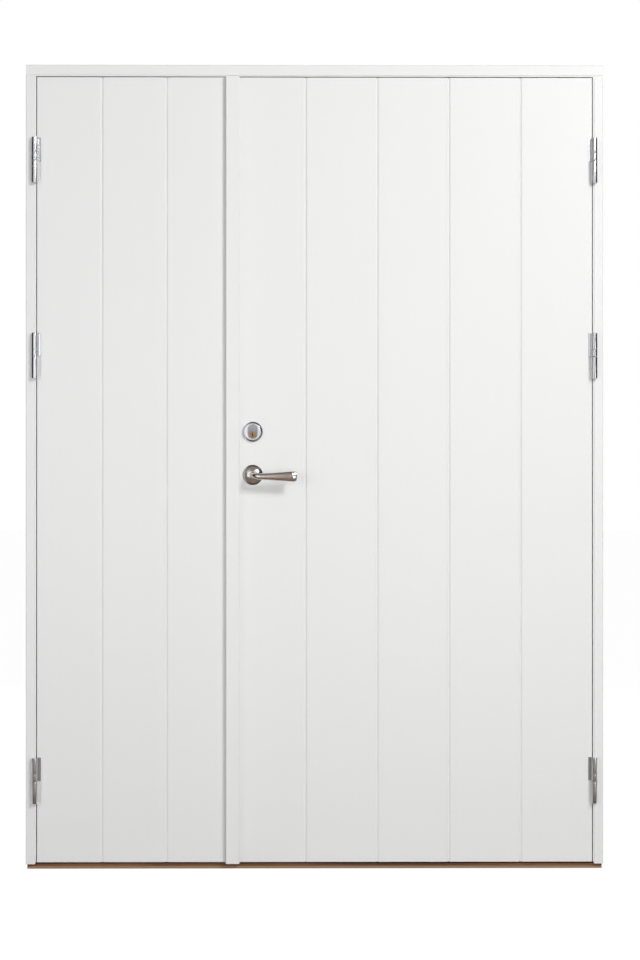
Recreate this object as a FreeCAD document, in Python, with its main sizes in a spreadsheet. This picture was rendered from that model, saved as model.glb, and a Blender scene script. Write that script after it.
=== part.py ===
import FreeCAD, Part
import math
import os

import Sketcher
from FreeCAD import Rotation, Vector

# An unequal pair of outward-opening exterior doors in a rebated timber frame, in millimetres.
# X runs to the right seen from outside, the outside face looks towards -Y and Z is up. The origin
# is the middle of the threshold's flat underside.

SIZES = {
    # Frame
    "frame_width": 1490.0,
    "frame_height": 2075.0,
    "frame_depth": 105.0,
    "head_face": 27.0,
    "jamb_face": 24.0,
    "stop_lap": 18.0,
    "arris": 1.5,
    "fixing_hole_radius": 5.0,
    "fixing_hole_inset": 22.0,
    "fixing_hole_end": 216.5,
    # Threshold
    "threshold_inset": 2.5,
    "threshold_recess": 10.0,
    "threshold_front_height": 13.5,
    "threshold_stop_height": 30.0,
    "threshold_chamfer": 6.0,
    # Running gaps
    "side_gap": 5.0,
    "top_gap": 5.0,
    "bottom_gap": 5.0,
    "meeting_gap": 5.0,
    "seal_gap": 5.0,
    "seal_clearance": 0.3,
    "seal_width": 9.0,
    # Leaves
    "leaf_thickness": 60.0,
    "face_recess": 1.0,
    "outer_skin_thickness": 14.0,
    "inner_skin_thickness": 8.0,
    "meeting_offset": 211.7,
    "edge_bevel": 3.0,
    "groove_width": 9.0,
    "groove_depth": 3.5,
    "active_boards": 5,
    "passive_boards": 3,
    "passive_board_pitch": 166.5,
    # Cover strip over the meeting line
    "astragal_width": 35.0,
    "astragal_thickness": 15.0,
    "astragal_drop": 2.0,
    "astragal_clearance": 5.0,
    "astragal_chamfer": 2.0,
    # Lift-off hinges
    "knuckle_radius": 7.6,
    "knuckle_stand_off": 8.2,
    "hinge_length": 117.0,
    "upper_barrel_length": 60.0,
    "bearing_gap": 0.8,
    "pin_radius": 4.0,
    "pin_clearance": 0.3,
    "pin_length": 34.0,
    "plate_thickness": 2.0,
    "plate_depth": 34.0,
    "plate_neck": 4.0,
    "wing_width": 9.5,
    "wing_seat_clearance": 0.3,
    "lowest_hinge": 211.0,
    "highest_hinge": 215.0,
    "upper_hinge_spacing": 504.0,
    # Lever handle
    "backset": 49.0,
    "handle_level": 1017.0,
    "rose_radius": 26.0,
    "rose_rim": 2.0,
    "rose_depth": 10.0,
    "rose_boss_radius": 12.0,
    "inner_rose_depth": 7.0,
    "neck_radius": 6.4,
    "neck_clearance": 0.3,
    "neck_bend": 9.0,
    "lever_stand_off": 50.0,
    "lever_reach": 115.0,
    "lever_thickness": 14.6,
    "lever_root_reach": 7.6,
    "lever_root_height": 14.7,
    "lever_tip_height": 26.5,
    "lever_tip_bevel": 6.0,
    "lever_crown_height": 21.0,
    "lever_crown_length": 5.0,
    "lever_end_height": 10.0,
    "lever_edge_round": 5.8,
    "spindle_width": 8.0,
    "spindle_hole_radius": 7.0,
    # Lock cylinder
    "cylinder_rise": 111.4,
    "cylinder_width": 24.0,
    "cylinder_height": 37.0,
    "cylinder_clearance": 0.2,
    "ring_radius": 26.0,
    "ring_rim": 1.5,
    "ring_depth": 8.0,
    "ring_face_radius": 21.5,
    "cylinder_stand_out": 1.5,
    "plug_radius": 8.0,
    "plug_drop": 7.5,
    "plug_length": 30.0,
    "plug_clearance": 0.1,
    "plug_stand_out": 1.0,
    "key_slot_width": 1.8,
    "key_slot_height": 9.0,
    "key_slot_depth": 8.0,
    "thumb_turn_length": 34.0,
    "thumb_turn_width": 13.0,
    "thumb_turn_depth": 16.0,
    # Edge fittings
    "faceplate_width": 22.0,
    "faceplate_height": 235.0,
    "faceplate_thickness": 3.0,
    "keep_width": 14.0,
    "keep_depth": 22.0,
    "latch_keep_height": 28.0,
    "bolt_keep_height": 42.0,
    "bolt_plate_width": 20.0,
    "bolt_plate_length": 200.0,
    "bolt_plate_inset": 40.0,
    "bolt_lever_width": 10.0,
    "bolt_lever_length": 70.0,
    "bolt_lever_depth": 2.0,
}

doc = FreeCAD.newDocument("DoubleDoor")
sheet = doc.addObject("Spreadsheet::Sheet", "Size")
for row, (alias, number) in enumerate(SIZES.items(), start=1):
    sheet.set(f"A{row}", alias)
    sheet.set(f"B{row}", str(number))
    sheet.setAlias(f"B{row}", alias)
doc.recompute()

# Places worked out from the sheet, as expressions

FRAME_FRONT = "(-Size.frame_depth / 2)"
FRAME_BACK = "(Size.frame_depth / 2)"
JAMB_EDGE = "(Size.frame_width / 2 - Size.jamb_face)"
STOP_EDGE = f"({JAMB_EDGE} - Size.side_gap - Size.stop_lap)"
HEAD_EDGE = "(Size.frame_height - Size.head_face)"
HEAD_STOP_EDGE = f"({HEAD_EDGE} - Size.top_gap - Size.stop_lap)"
LEAF_FRONT = f"({FRAME_FRONT} + Size.face_recess)"
LEAF_BACK = f"({LEAF_FRONT} + Size.leaf_thickness)"
CORE_FRONT = f"({LEAF_FRONT} + Size.outer_skin_thickness)"
CORE_BACK = f"({LEAF_BACK} - Size.inner_skin_thickness)"
CORE_MIDDLE = f"(({CORE_FRONT} + {CORE_BACK}) / 2)"
STOP_FACE = f"({LEAF_BACK} + Size.seal_gap)"
LEAF_EDGE = f"({JAMB_EDGE} - Size.side_gap)"
LEAF_BOTTOM = "(Size.threshold_front_height + Size.bottom_gap)"
LEAF_TOP = f"({HEAD_EDGE} - Size.top_gap)"
ACTIVE_EDGE = "(-Size.meeting_offset + Size.meeting_gap / 2)"
PASSIVE_EDGE = "(-Size.meeting_offset - Size.meeting_gap / 2)"
HINGE_Y = f"({FRAME_FRONT} - Size.knuckle_stand_off)"
SPINDLE_X = f"({ACTIVE_EDGE} + Size.backset)"
CYLINDER_LEVEL = "(Size.handle_level + Size.cylinder_rise)"
LOCK_LEVEL = "(Size.handle_level + Size.cylinder_rise / 2)"
TOP_HINGE = f"({LEAF_TOP} - Size.highest_hinge)"
HINGE_LEVELS = {
    "bottom": f"({LEAF_BOTTOM} + Size.lowest_hinge)",
    "middle": f"({TOP_HINGE} - Size.upper_hinge_spacing)",
    "top": TOP_HINGE,
}
SIDES = ("left", "right")
FACES = {"outside": LEAF_FRONT, "inside": LEAF_BACK}
JAMB_HOLES = 4

OUTWARDS = Rotation(Vector(1, 0, 0), 90)
INWARDS = Rotation(Vector(1, 0, 0), -90)
ALONG_X = Rotation(Vector(0, 1, 0), 90)
TURNED_ROUND = Rotation(Vector(0, 0, 1), 180)
TURNED_OVER = Rotation(Vector(1, 0, 0), 180)

parts = []


def value(expression):
    """The number that an expression on the sheet has now."""
    return float(sheet.evalExpression(expression))


def bind(item, expressions):
    """Tie properties of an object to expressions on the sheet."""
    for property_name, expression in expressions.items():
        item.setExpression(property_name, expression)


def keep(label, item):
    """Name an object as one finished piece of the door."""
    item.Label = label
    parts.append(item)


def spread(side, inner, outer):
    """Lowest and highest X of a stretch given by its distances from the middle of the frame."""
    if side == "right":
        return inner, outer
    return f"(-({outer}))", f"(-({inner}))"


def place(side, distance):
    """The X of a point given by its distance from the middle of the frame."""
    return distance if side == "right" else f"(-({distance}))"


def about(middle, size):
    """Both ends of a stretch of a given size about its middle."""
    return f"({middle} - ({size}) / 2)", f"({middle} + ({size}) / 2)"


def block(name, x_span, y_span, z_span):
    """A straight-sided solid between two places along each axis."""
    solid = doc.addObject("Part::Box", name)
    for axis, size, (low, high) in zip("xyz", ("Length", "Width", "Height"), (x_span, y_span, z_span)):
        bind(solid, {size: f"({high}) - ({low})", f"Placement.Base.{axis}": low})
    return solid


def rod(name, radius, length, base, rotation=Rotation()):
    """A round bar from its base point, along Z before its rotation."""
    solid = doc.addObject("Part::Cylinder", name)
    solid.Placement.Rotation = rotation
    bind(solid, {"Radius": radius, "Height": length})
    bind(solid, {f"Placement.Base.{axis}": text for axis, text in zip("xyz", base)})
    return solid


def cut(name, base, *tools):
    """A solid less one or more others."""
    tool = tools[0] if len(tools) == 1 else join(f"{name}_tools", *tools)
    solid = doc.addObject("Part::Cut", name)
    solid.Base = base
    solid.Tool = tool
    return solid


def join(name, *pieces):
    """Several solids as one."""
    solid = doc.addObject("Part::MultiFuse", name)
    solid.Shapes = list(pieces)
    solid.Refine = True
    return solid


def new_body(name, base=()):
    """An empty body at a place given by expressions for X, Y and Z."""
    body = doc.addObject("PartDesign::Body", name)
    bind(body, {f"Placement.Base.{axis}": text for axis, text in zip("xyz", base)})
    return body


def new_sketch(body, name, plane):
    """An empty sketch on one of the body's own origin planes."""
    sketch = body.newObject("Sketcher::SketchObject", name)
    support = next(item for item in body.Origin.OriginFeatures if item.Role == plane)
    sketch.AttachmentSupport = [(support, "")]
    sketch.MapMode = "FlatFace"
    return sketch


def tie(sketch, kind, geometry, point, expression):
    """Hold a point of the sketch at a bound distance from the sketch's origin."""
    number = sketch.addConstraint(Sketcher.Constraint(kind, -1, 1, geometry, point, value(expression)))
    sketch.setExpression(f"Constraints[{number}]", expression)


def polygon(body, name, plane, points):
    """A closed sketch of straight lines whose corners are bound to expressions."""
    sketch = new_sketch(body, name, plane)
    corners = [Vector(value(across), value(up), 0) for across, up in points]
    for start, end in zip(corners, corners[1:] + corners[:1]):
        sketch.addGeometry(Part.LineSegment(start, end))
    count = len(points)
    for index in range(count):
        sketch.addConstraint(Sketcher.Constraint("Coincident", index, 2, (index + 1) % count, 1))
    for index, (across, up) in enumerate(points):
        tie(sketch, "DistanceX", index, 1, across)
        tie(sketch, "DistanceY", index, 1, up)
    return sketch


def oval(body, name, width, height):
    """A sketch of an upright slot with round ends about the body's middle."""
    sketch = new_sketch(body, name, "XZ_Plane")
    radius = value(width) / 2
    rise = (value(height) - value(width)) / 2
    up, across, normal = Vector(0, rise, 0), Vector(radius, 0, 0), Vector(0, 0, 1)
    sketch.addGeometry(Part.ArcOfCircle(Part.Circle(up, normal, radius), 0, math.pi))
    sketch.addGeometry(Part.LineSegment(up - across, -up - across))
    sketch.addGeometry(Part.ArcOfCircle(Part.Circle(-up, normal, radius), math.pi, 2 * math.pi))
    sketch.addGeometry(Part.LineSegment(across - up, across + up))
    for first, following in ((0, 1), (1, 2), (2, 3), (3, 0)):
        sketch.addConstraint(Sketcher.Constraint("Tangent", first, 2, following, 1))
    sketch.addConstraint(Sketcher.Constraint("Equal", 0, 2))
    for arc, sign in ((0, ""), (2, "-")):
        tie(sketch, "DistanceX", arc, 3, "0")
        tie(sketch, "DistanceY", arc, 3, f"{sign}(({height}) - ({width})) / 2")
    number = sketch.addConstraint(Sketcher.Constraint("Radius", 0, radius))
    sketch.setExpression(f"Constraints[{number}]", f"({width}) / 2")
    return sketch


def pad(body, sketch, length):
    """A sketch given its thickness along the sketch's own normal."""
    feature = body.newObject("PartDesign::Pad", f"{sketch.Name}_pad")
    feature.Profile = sketch
    feature.setExpression("Length", length)
    sketch.Visibility = False
    body.Tip = feature


def upright(name, points, low, high):
    """A piece with the same plan all the way up, from one level to another."""
    body = new_body(name, ("0", "0", low))
    pad(body, polygon(body, f"{name}_plan", "XY_Plane", points), f"({high}) - ({low})")
    return body


def lengthwise(name, points, x_span):
    """A piece with the same section, in Y and Z, all along X."""
    low, high = x_span
    body = new_body(name, (low, "0", "0"))
    pad(body, polygon(body, f"{name}_section", "YZ_Plane", points), f"({high}) - ({low})")
    return body


def turned(name, base, points):
    """A piece turned about its own Y axis. Points are radius and place along Y, -Y being outwards."""
    body = new_body(name, base)
    sketch = polygon(body, f"{name}_profile", "XY_Plane", points)
    feature = body.newObject("PartDesign::Revolution", f"{name}_turning")
    feature.Profile = sketch
    feature.ReferenceAxis = (sketch, ["V_Axis"])
    feature.Angle = 360
    sketch.Visibility = False
    body.Tip = feature
    return body


# The frame

def make_jamb(side):
    """A rebated jamb: narrow in front of the leaf's edge, wider behind it as the stop."""
    outer = "Size.frame_width / 2"
    points = [
        (outer, f"{FRAME_FRONT} + Size.arris"), (f"{outer} - Size.arris", FRAME_FRONT),
        (f"{JAMB_EDGE} + Size.arris", FRAME_FRONT), (JAMB_EDGE, f"{FRAME_FRONT} + Size.arris"),
        (JAMB_EDGE, STOP_FACE), (STOP_EDGE, STOP_FACE),
        (STOP_EDGE, f"{FRAME_BACK} - Size.arris"), (f"{STOP_EDGE} + Size.arris", FRAME_BACK),
        (outer, FRAME_BACK),
    ]
    points = [(place(side, across), along) for across, along in points]
    foot = "Size.threshold_front_height"
    blank = upright(f"jamb_blank_{side}", points, foot, HEAD_EDGE)
    lowest = f"({foot} + Size.fixing_hole_end)"
    pitch = f"(({HEAD_EDGE} - Size.fixing_hole_end - {lowest}) / {JAMB_HOLES - 1})"
    low, high = spread(side, STOP_EDGE, outer)
    holes = []
    for number in range(JAMB_HOLES):
        base = (low, f"{FRAME_BACK} - Size.fixing_hole_inset", f"{lowest} + {number} * {pitch}")
        holes.append(rod(f"fixing_hole_{side}_{number}", "Size.fixing_hole_radius", f"({high}) - ({low})",
                         base, ALONG_X))
    keep(f"frame_jamb_{side}", cut(f"jamb_{side}", blank, *holes))


def make_head():
    """The head runs over both jambs, and its stop hangs down between theirs."""
    top = "Size.frame_height"
    section = [
        (f"{FRAME_FRONT} + Size.arris", HEAD_EDGE), (FRAME_BACK, HEAD_EDGE), (FRAME_BACK, top),
        (f"{FRAME_FRONT} + Size.arris", top), (FRAME_FRONT, f"{top} - Size.arris"),
        (FRAME_FRONT, f"{HEAD_EDGE} + Size.arris"),
    ]
    board = lengthwise("head_board", section, about("0", "Size.frame_width"))
    stop = block("head_stop", (f"-{STOP_EDGE}", STOP_EDGE), (STOP_FACE, FRAME_BACK), (HEAD_STOP_EDGE, HEAD_EDGE))
    keep("frame_head", join("head", board, stop))


def make_threshold():
    """An oak sill plank, with a raised stop between the jambs' stops behind the leaves."""
    plank = block("threshold_plank", about("0", "Size.frame_width - 2 * Size.threshold_inset"),
                  (f"{FRAME_FRONT} + Size.threshold_recess", FRAME_BACK), ("0", "Size.threshold_front_height"))
    top = "Size.threshold_stop_height"
    section = [
        (STOP_FACE, "Size.threshold_front_height"), (FRAME_BACK, "Size.threshold_front_height"),
        (FRAME_BACK, f"{top} - Size.threshold_chamfer"), (f"{FRAME_BACK} - 2 * Size.threshold_chamfer", top),
        (STOP_FACE, top),
    ]
    stop = lengthwise("threshold_stop", section, (f"-{STOP_EDGE}", STOP_EDGE))
    keep("threshold", join("threshold_whole", plank, stop))


def make_seals():
    """Rubber seals on the stops, just clear of the closed leaves' backs."""
    depth = (f"{LEAF_BACK} + Size.seal_clearance", STOP_FACE)
    threshold_span = ("Size.threshold_stop_height - Size.seal_width", "Size.threshold_stop_height")
    head_span = (HEAD_STOP_EDGE, f"{HEAD_STOP_EDGE} + Size.seal_width")
    for side in SIDES:
        span = spread(side, STOP_EDGE, f"{STOP_EDGE} + Size.seal_width")
        keep(f"seal_{side}", block(f"seal_strip_{side}", span, depth, (threshold_span[0], head_span[1])))
    inner = (f"-{STOP_EDGE}", STOP_EDGE)
    keep("seal_head", block("seal_strip_head", inner, depth, head_span))
    keep("seal_threshold", block("seal_strip_threshold", inner, depth, threshold_span))


# The hinges

def hinge_ends(level_name):
    """Bottom and top of a hinge."""
    return about(HINGE_LEVELS[level_name], "Size.hinge_length")


def hinge_plate(name, x_span, neck_far, neck_near, plate_far):
    """An L-shaped plate in the side gap, whose neck reaches forward to the barrel."""
    front = f"({FRAME_FRONT} + Size.plate_neck)"
    back = f"({FRAME_FRONT} + Size.plate_depth)"
    outline = [
        (HINGE_Y, neck_far), (back, neck_far), (back, plate_far), (front, plate_far), (front, neck_near),
        (HINGE_Y, neck_near),
    ]
    return lengthwise(name, outline, x_span)


def make_hinge(side, level_name):
    """A lift-off hinge: pin and lower barrel on the frame, upper barrel and front wing on the leaf."""
    bottom, top = hinge_ends(level_name)
    axis_x = place(side, JAMB_EDGE)
    upper_bottom = f"({top} - Size.upper_barrel_length)"
    lower_top = f"({upper_bottom} - Size.bearing_gap)"
    tag = f"{side}_{level_name}"

    lower = rod(f"lower_barrel_{tag}", "Size.knuckle_radius", f"{lower_top} - {bottom}",
                (axis_x, HINGE_Y, bottom))
    pin = rod(f"pin_{tag}", "Size.pin_radius", "Size.pin_length", (axis_x, HINGE_Y, lower_top))
    frame_plate = hinge_plate(f"frame_plate_{tag}", spread(side, f"{JAMB_EDGE} - Size.plate_thickness", JAMB_EDGE),
                              bottom, lower_top, top)
    keep(f"hinge_frame_{tag}", join(f"frame_half_{tag}", lower, pin, frame_plate))

    upper = rod(f"upper_barrel_{tag}", "Size.knuckle_radius", "Size.upper_barrel_length",
                (axis_x, HINGE_Y, upper_bottom))
    leaf_plate = hinge_plate(f"leaf_plate_{tag}", spread(side, LEAF_EDGE, f"{LEAF_EDGE} + Size.plate_thickness"),
                             top, upper_bottom, bottom)
    wing = block(f"wing_{tag}", spread(side, f"{LEAF_EDGE} - Size.wing_width", LEAF_EDGE),
                 (LEAF_FRONT, f"{LEAF_FRONT} + Size.plate_thickness"), (upper_bottom, top))
    bore = rod(f"bore_{tag}", "Size.pin_radius + Size.pin_clearance", "Size.pin_length + Size.bearing_gap",
               (axis_x, HINGE_Y, upper_bottom))
    whole = join(f"leaf_half_blank_{tag}", upper, leaf_plate, wing)
    keep(f"hinge_leaf_{tag}", cut(f"leaf_half_{tag}", whole, bore))


def wing_seats(side):
    """The shallow seats for the hinges' wings in the front edge of a leaf's outer skin."""
    inner = f"{LEAF_EDGE} - Size.wing_width - Size.wing_seat_clearance"
    depth = (FRAME_FRONT, f"{LEAF_FRONT} + Size.plate_thickness")
    return [
        block(f"wing_seat_{side}_{level_name}", spread(side, inner, JAMB_EDGE), depth,
              about(level, "Size.hinge_length + 2 * Size.wing_seat_clearance"))
        for level_name, level in HINGE_LEVELS.items()
    ]


# The leaves

def active_edge(depth):
    """The active leaf's bevelled meeting edge at a place through its thickness."""
    return f"({ACTIVE_EDGE} + Size.edge_bevel * (({depth}) - {LEAF_FRONT}) / Size.leaf_thickness)"


def leaf_layer(name, leaf, front, back):
    """One layer of a leaf, between two places through its thickness."""
    if leaf == "active":
        points = [(active_edge(front), front), (LEAF_EDGE, front), (LEAF_EDGE, back), (active_edge(back), back)]
    else:
        points = [(f"-{LEAF_EDGE}", front), (PASSIVE_EDGE, front), (PASSIVE_EDGE, back), (f"-{LEAF_EDGE}", back)]
    return upright(name, points, LEAF_BOTTOM, LEAF_TOP)


def cut_grooves(body, name, first_groove, pitch, boards):
    """Upright V-grooves between the boards of a leaf's outer skin."""
    low, high = about(first_groove, "Size.groove_width")
    points = [(low, LEAF_FRONT), (high, LEAF_FRONT), (first_groove, f"{LEAF_FRONT} + Size.groove_depth")]
    sketch = polygon(body, f"{name}_groove", "XY_Plane", points)
    pocket = body.newObject("PartDesign::Pocket", f"{name}_groove_pocket")
    pocket.Profile = sketch
    pocket.Type = "ThroughAll"
    pocket.Midplane = True
    body.Tip = pocket
    grooves = f"({boards} - 1)"
    pattern = body.newObject("PartDesign::LinearPattern", f"{name}_grooves")
    pattern.Originals = [pocket]
    pattern.Direction = (sketch, ["H_Axis"])
    pattern.setExpression("Length", f"({pitch}) * ({grooves} - 1)")
    pattern.setExpression("Occurrences", grooves)
    sketch.Visibility = False
    body.Tip = pattern


def lock_tools(name):
    """The spindle's hole and the lock cylinder's opening, through the whole leaf."""
    length = "Size.leaf_thickness + 2 * Size.seal_gap"
    back = f"{LEAF_BACK} + Size.seal_gap"
    hole = rod(f"{name}_spindle_hole", "Size.spindle_hole_radius", length, (SPINDLE_X, back, "Size.handle_level"),
               OUTWARDS)
    opening = new_body(f"{name}_cylinder_opening", (SPINDLE_X, back, CYLINDER_LEVEL))
    clearance = "2 * Size.cylinder_clearance"
    pad(opening, oval(opening, f"{name}_opening_shape", f"Size.cylinder_width + {clearance}",
                      f"Size.cylinder_height + {clearance}"), length)
    return hole, opening


def make_active_leaf():
    """Five boards wide: grooved outer skin, core and inner skin, cut for lock, handle and hinges."""
    skin = leaf_layer("active_skin_blank", "active", LEAF_FRONT, CORE_FRONT)
    pitch = f"({LEAF_EDGE} - {ACTIVE_EDGE}) / Size.active_boards"
    cut_grooves(skin, "active", f"{ACTIVE_EDGE} + {pitch}", pitch, "Size.active_boards")
    keep("active_outer_skin", cut("active_skin", skin, *lock_tools("active_skin"), *wing_seats("right")))
    core = leaf_layer("active_core_blank", "active", CORE_FRONT, CORE_BACK)
    keep("active_core", cut("active_core_cut", core, faceplate("faceplate_seat"), *lock_tools("active_core")))
    lining = leaf_layer("active_lining_blank", "active", CORE_BACK, LEAF_BACK)
    keep("active_inner_skin", cut("active_lining", lining, *lock_tools("active_lining")))
    keep("lock_faceplate", faceplate("faceplate"))


def make_passive_leaf():
    """Three boards wide, with a strike plate and two flush bolts let into its meeting edge."""
    skin = leaf_layer("passive_skin_blank", "passive", LEAF_FRONT, CORE_FRONT)
    cut_grooves(skin, "passive", f"-{LEAF_EDGE} + Size.passive_board_pitch", "Size.passive_board_pitch",
                "Size.passive_boards")
    keep("passive_outer_skin", cut("passive_skin", skin, *wing_seats("left")))
    core = leaf_layer("passive_core_blank", "passive", CORE_FRONT, CORE_BACK)
    seats = [edge_plate(f"{name}_seat", *sizes) for name, sizes in EDGE_PLATES.items()]
    keep("passive_core", cut("passive_core_cut", core, *seats, *lock_keeps("core_keep")))
    keep("passive_inner_skin", leaf_layer("passive_lining", "passive", CORE_BACK, LEAF_BACK))
    for name, sizes in EDGE_PLATES.items():
        blank = edge_plate(f"{name}_blank", *sizes)
        recesses = lock_keeps("strike_keep") if name == "strike_plate" else [lever_recess(name, *sizes)]
        keep(name, cut(f"{name}_cut", blank, *recesses))


def make_astragal():
    """The cover strip on the active leaf, relieved where it laps over the passive one."""
    left, right = about("-Size.meeting_offset", "Size.astragal_width")
    front = f"({LEAF_FRONT} - Size.astragal_thickness)"
    lap = f"({LEAF_FRONT} - Size.astragal_clearance)"
    chamfer = "Size.astragal_chamfer"
    points = [
        (f"{left} + {chamfer}", front), (f"{right} - {chamfer}", front), (right, f"{front} + {chamfer}"),
        (right, LEAF_FRONT), (ACTIVE_EDGE, LEAF_FRONT), (ACTIVE_EDGE, lap), (left, lap),
        (left, f"{front} + {chamfer}"),
    ]
    keep("astragal", upright("astragal_strip", points, f"{LEAF_BOTTOM} - Size.astragal_drop", LEAF_TOP))


# The fittings in the leaves' meeting edges

EDGE_PLATES = {
    "strike_plate": ("Size.faceplate_width", *about(LOCK_LEVEL, "Size.faceplate_height")),
    "flush_bolt_top": ("Size.bolt_plate_width", f"{LEAF_TOP} - Size.bolt_plate_inset - Size.bolt_plate_length",
                       f"{LEAF_TOP} - Size.bolt_plate_inset"),
    "flush_bolt_bottom": ("Size.bolt_plate_width", f"{LEAF_BOTTOM} + Size.bolt_plate_inset",
                          f"{LEAF_BOTTOM} + Size.bolt_plate_inset + Size.bolt_plate_length"),
}


def faceplate(name):
    """The lock's faceplate, flush with the active leaf's bevelled edge."""
    front, back = about(CORE_MIDDLE, "Size.faceplate_width")
    points = [
        (active_edge(front), front), (f"{active_edge(front)} + Size.faceplate_thickness", front),
        (f"{active_edge(back)} + Size.faceplate_thickness", back), (active_edge(back), back),
    ]
    return upright(name, points, *about(LOCK_LEVEL, "Size.faceplate_height"))


def edge_plate(name, width, low, high):
    """A plate flush with the passive leaf's meeting edge."""
    return block(name, (f"{PASSIVE_EDGE} - Size.faceplate_thickness", PASSIVE_EDGE), about(CORE_MIDDLE, width),
                 (low, high))


def lever_recess(name, width, low, high):
    """The shallow recess for a flush bolt's finger lever, in the middle of its plate."""
    return block(f"{name}_lever_recess", (f"{PASSIVE_EDGE} - Size.bolt_lever_depth", PASSIVE_EDGE),
                 about(CORE_MIDDLE, "Size.bolt_lever_width"),
                 about(f"(({low}) + ({high})) / 2", "Size.bolt_lever_length"))


def lock_keeps(name):
    """The pockets that take the lock's latch and bolt, through the strike plate into the core."""
    depth = (f"{PASSIVE_EDGE} - Size.keep_depth", PASSIVE_EDGE)
    across = about(CORE_MIDDLE, "Size.keep_width")
    return [
        block(f"{name}_latch", depth, across, about("Size.handle_level", "Size.latch_keep_height")),
        block(f"{name}_bolt", depth, across, about(CYLINDER_LEVEL, "Size.bolt_keep_height")),
    ]


# The handle and the lock cylinder

def make_rose(face):
    """A round rose, bored for the lever's neck: domed outside, flat inside."""
    hole = "Size.neck_radius + Size.neck_clearance"
    front = [
        ("Size.rose_radius", "-Size.rose_rim"), ("Size.rose_boss_radius", "-Size.rose_depth"),
        (hole, "-Size.rose_depth"),
    ]
    if face == "inside":
        front = [("Size.rose_radius", "-Size.inner_rose_depth"), (hole, "-Size.inner_rose_depth")]
    points = [(hole, "0"), ("Size.rose_radius", "0"), *front]
    rose = turned(f"rose_turning_{face}", (SPINDLE_X, FACES[face], "Size.handle_level"), points)
    if face == "inside":
        rose.Placement.Rotation = TURNED_ROUND
    keep(f"rose_{face}", rose)


def dress_edges(body, kind, name, wanted, size_name, size):
    """A fillet or chamfer on the edges of the body's last feature that a test picks out."""
    doc.recompute()
    base = body.Tip
    names = [f"Edge{number}" for number, edge in enumerate(base.Shape.Edges, start=1) if wanted(edge)]
    feature = body.newObject(f"PartDesign::{kind}", name)
    feature.Base = (base, names)
    feature.setExpression(size_name, size)
    body.Tip = feature


def make_lever(face):
    """A round neck and a lever that turns off it, flares towards its tip and ends in a crown."""
    body = new_body(f"lever_arm_{face}", (SPINDLE_X, FACES[face], "Size.handle_level"))
    if face == "inside":
        body.Placement.Rotation = TURNED_OVER
    root, tip = about("0", "Size.lever_root_height"), about("0", "Size.lever_tip_height")
    crown, end = about("0", "Size.lever_crown_height"), about("0", "Size.lever_end_height")
    crown_start = "(Size.lever_reach - Size.lever_crown_length)"
    bevel_start = f"({crown_start} - Size.lever_tip_bevel)"
    outline = [
        ("-Size.lever_root_reach", root[0]), (bevel_start, tip[0]), (crown_start, crown[0]), ("Size.lever_reach", end[0]),
        ("Size.lever_reach", end[1]), (crown_start, crown[1]), (bevel_start, tip[1]), ("-Size.lever_root_reach", root[1]),
    ]
    sketch = polygon(body, f"lever_outline_{face}", "XZ_Plane", outline)
    sketch.setExpression("AttachmentOffset.Base.z", "Size.lever_stand_off - Size.lever_thickness / 2")
    pad(body, sketch, "Size.lever_thickness")
    half_reach = value("Size.lever_reach / 2")
    middle_y = -value("Size.lever_stand_off")

    def outer_corner(edge):
        """The upright edge where the lever's front meets its root."""
        return edge.BoundBox.XMax < 0 and edge.BoundBox.YMax < middle_y and edge.BoundBox.XLength < half_reach

    def lengthwise_edge(edge):
        """An edge that runs along the lever."""
        return edge.BoundBox.XLength > half_reach

    dress_edges(body, "Chamfer", f"lever_bend_{face}", outer_corner, "Size", "Size.neck_bend")
    dress_edges(body, "Fillet", f"lever_rounding_{face}", lengthwise_edge, "Radius", "Size.lever_edge_round")
    sign, direction = ("-", OUTWARDS) if face == "outside" else ("+", INWARDS)
    neck = rod(f"neck_{face}", "Size.neck_radius", "Size.lever_stand_off - Size.neck_clearance",
               (SPINDLE_X, f"{FACES[face]} {sign} Size.neck_clearance", "Size.handle_level"), direction)
    pieces = [body, neck]
    if face == "inside":
        pieces.append(block("spindle", about(SPINDLE_X, "Size.spindle_width"),
                            (f"{LEAF_FRONT} - Size.neck_clearance", f"{LEAF_BACK} + Size.neck_clearance"),
                            about("Size.handle_level", "Size.spindle_width")))
    keep(f"lever_{face}", join(f"lever_whole_{face}", *pieces))


def make_ring(face):
    """A round cover ring cut out for the oval cylinder, its rim sloped outside and plain inside."""
    front = [("Size.ring_radius", "-Size.ring_rim"), ("Size.ring_face_radius", "-Size.ring_depth")]
    if face == "inside":
        front = [("Size.ring_radius", "-Size.ring_depth")]
    profile = [("0", "0"), ("Size.ring_radius", "0"), *front, ("0", "-Size.ring_depth")]
    disc = turned(f"ring_turning_{face}", (SPINDLE_X, FACES[face], CYLINDER_LEVEL), profile)
    if face == "inside":
        disc.Placement.Rotation = TURNED_ROUND
    hole = new_body(f"ring_hole_{face}", (SPINDLE_X, f"{FACES[face]} + 2 * Size.ring_depth", CYLINDER_LEVEL))
    pad(hole, oval(hole, f"ring_hole_shape_{face}", "Size.cylinder_width + 2 * Size.cylinder_clearance",
                   "Size.cylinder_height + 2 * Size.cylinder_clearance"), "4 * Size.ring_depth")
    keep(f"cylinder_ring_{face}", cut(f"cylinder_ring_cut_{face}", disc, hole))


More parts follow.
